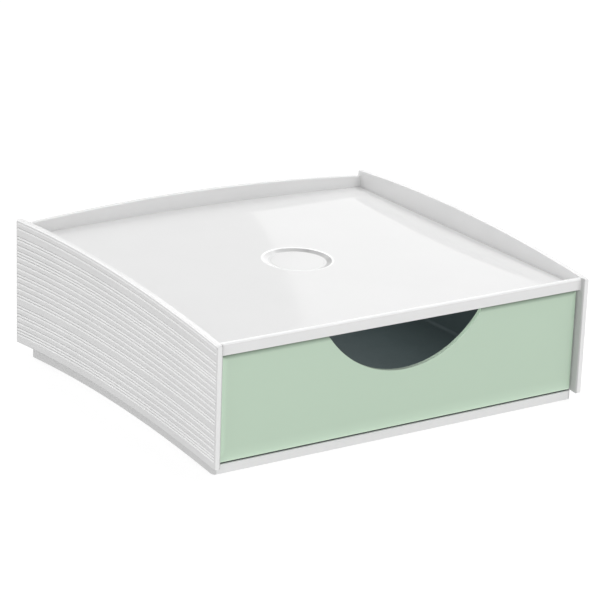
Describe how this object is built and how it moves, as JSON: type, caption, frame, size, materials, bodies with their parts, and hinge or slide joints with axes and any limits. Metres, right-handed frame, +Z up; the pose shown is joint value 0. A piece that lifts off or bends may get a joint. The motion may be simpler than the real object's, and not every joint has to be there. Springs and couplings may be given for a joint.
{
  "type": "drawer unit",
  "caption": "Free-standing desk drawer unit with grooved, arched side panels, a rimmed, gently rising deck with a round recess, and a sliding drawer with a half-moon finger cut-out.",
  "frame": {"origin": "on the standing surface, under the middle of the unit", "axes": "+Z up, the drawer opens towards -Y, +X is the right-hand side seen from the front"},
  "size_m": [0.264, 0.244, 0.0907],
  "materials": {
    "housing_white": "glossy moulded polystyrene",
    "disc_white": "satin moulded polystyrene",
    "drawer_green": "satin mint green moulded polystyrene",
    "tray_grey": "fine matte moulded polystyrene",
    "runner_grey": "low-friction moulded plastic",
    "foot_rubber": "matte rubber",
    "screw_steel": "zinc plated"
  },
  "bodies": {
    "housing": {"left_side_panel": "housing_white", "right_side_panel": "housing_white", "top_deck": "housing_white", "deck_disc": "disc_white", "back_panel": "housing_white", "base_pan": "housing_white", "left_runner": "runner_grey", "right_runner": "runner_grey", "left_drawer_stop": "runner_grey", "right_drawer_stop": "runner_grey", "foot_front_left": "foot_rubber", "foot_front_right": "foot_rubber", "foot_rear_left": "foot_rubber", "foot_rear_right": "foot_rubber", "base_screws": "screw_steel", "deck_screws": "screw_steel", "back_screws": "screw_steel", "left_runner_screws": "screw_steel", "right_runner_screws": "screw_steel"},
    "drawer": {"drawer_tray": "tray_grey", "drawer_front": "drawer_green", "drawer_front_screws": "screw_steel"}
  },
  "joints": [
    {"name": "drawer_slide", "type": "slide", "parent": "housing", "child": "drawer", "axis": [0, -1, 0], "range_m": [0, 0.171]}
  ]
}
